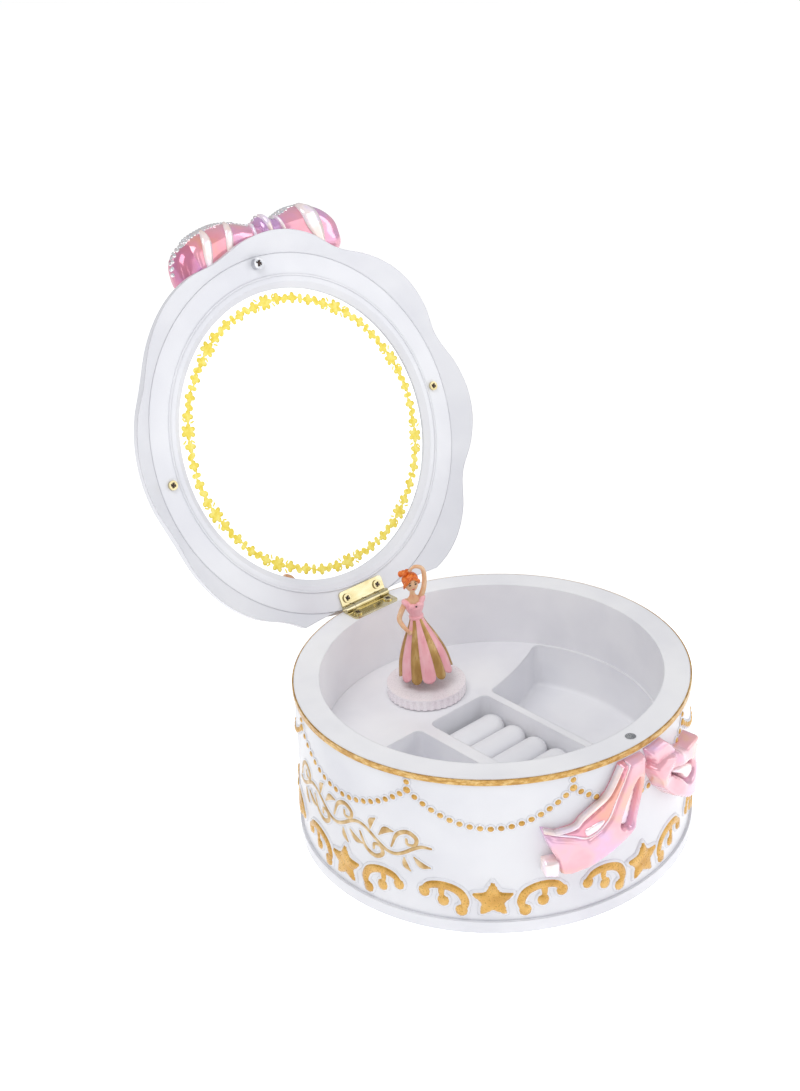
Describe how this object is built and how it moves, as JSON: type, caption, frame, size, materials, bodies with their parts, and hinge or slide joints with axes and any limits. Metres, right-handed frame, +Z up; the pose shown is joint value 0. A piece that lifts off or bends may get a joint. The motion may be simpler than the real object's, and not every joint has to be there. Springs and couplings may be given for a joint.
{
  "type": "ballerina jewellery box",
  "caption": "Round musical jewellery box with a mirrored scalloped lid on a brass hinge, ring rolls, compartments and a dancer that turns on a wound movement.",
  "frame": {"origin": "centre of the foot ring's face, where the box stands on a table", "axes": "+Z up, hinge at +Y, magnet catch and front at -Y, lid stored open at its stop"},
  "size_m": [0.1622, 0.2311, 0.2165],
  "materials": {
    "white_shell": "satin moulded",
    "white_tray": "satin moulded",
    "white_lid": "satin moulded",
    "gold_paint": "gold hot-stamped and painted",
    "pearl_pink": "iridescent pearl gloss",
    "brass_plate": "polished plating",
    "steel": "bright zinc plated",
    "magnet": "nickel plated",
    "mirror_glass": "silvered acrylic with a yellow printed garland",
    "turntable_white": "satin moulded",
    "movement_brass": "brushed",
    "movement_zinc": "die-cast zinc",
    "spring_steel": "blued edge",
    "nylon": "moulded",
    "dress": "hand-painted petals in pink and antique gold",
    "skin": "hand-painted"
  },
  "bodies": {
    "root": {"outer_shell": "white_shell", "jewel_tray": "white_tray", "ring_rolls": "white_tray", "gold_rim_band": "gold_paint", "base_pan": "white_shell", "base_screws": "steel", "star_reliefs": "gold_paint", "scroll_reliefs": "gold_paint", "shoe_relief": "pearl_pink", "drum_bow_relief": "pearl_pink", "catch_magnet": "magnet", "hinge_leaf_lower": "brass_plate", "hinge_pin": "brass_plate", "hinge_screws_lower": "brass_plate", "shaft_bush": "nylon", "movement_bedplate": "movement_zinc", "movement_screws": "steel", "bearing_brackets": "movement_brass", "comb": "spring_steel", "comb_block": "movement_zinc", "comb_screws": "steel"},
    "lid": {"hinge_leaf_upper": "brass_plate", "hinge_screws_upper": "brass_plate", "lid_shell": "white_lid", "lid_frame": "white_lid", "mirror": "mirror_glass", "lid_screws": "brass_plate", "catch_screw": "steel", "lid_bow": "pearl_pink"},
    "turntable": {"turntable_disc": "turntable_white", "drive_shaft": "steel", "spring_barrel": "movement_brass", "mainspring": "spring_steel"},
    "winder": {"winding_arbor": "steel", "winding_key": "steel"},
    "cylinder": {"pin_cylinder": "movement_brass", "cylinder_pinion": "movement_brass", "brake_wheel": "movement_brass"},
    "brake": {"air_brake": "movement_brass"},
    "dancer_base": {"dancer_spring": "spring_steel"},
    "dancer": {"dancer_skirt": "dress", "dancer_figure": "skin", "spring_plug": "nylon"}
  },
  "joints": [
    {"name": "lid_hinge", "type": "hinge", "parent": "root", "child": "lid", "pos_m": [0, 0.0722, 0.0663], "axis": [1, 0, 0], "range_deg": [0, 112]},
    {"name": "turntable_spin", "type": "hinge", "parent": "root", "child": "turntable", "pos_m": [0, 0.0375, 0.0428], "axis": [0, 0, 1], "continuous": true},
    {"name": "key_wind", "type": "hinge", "parent": "root", "child": "winder", "pos_m": [0, 0.0375, 0.005], "axis": [0, 0, 1], "continuous": true},
    {"name": "cylinder_spin", "type": "hinge", "parent": "root", "child": "cylinder", "pos_m": [-0.02, 0.0375, 0.02817], "axis": [1, 0, 0], "continuous": true},
    {"name": "air_brake_spin", "type": "hinge", "parent": "root", "child": "brake", "pos_m": [-0.02, 0.04443, 0.03217], "axis": [1, 0, 0], "continuous": true},
    {"name": "dancer_fold", "type": "hinge", "parent": "root", "child": "dancer_base", "pos_m": [0, 0.0305, 0.0485], "axis": [1, 0, 0], "range_deg": [0, 90], "deforming": ["dancer_spring"]},
    {"name": "dancer_spin", "type": "hinge", "parent": "dancer_base", "child": "dancer", "pos_m": [0, 0.0375, 0.0428], "axis": [0, 0, 1], "continuous": true}
  ],
  "couplings": [
    {"joint": "dancer_fold", "follows": "lid_hinge", "ratio": 0.8},
    {"joint": "dancer_spin", "follows": "turntable_spin", "ratio": 1},
    {"joint": "cylinder_spin", "follows": "turntable_spin", "ratio": -3},
    {"joint": "air_brake_spin", "follows": "turntable_spin", "ratio": 9}
  ]
}
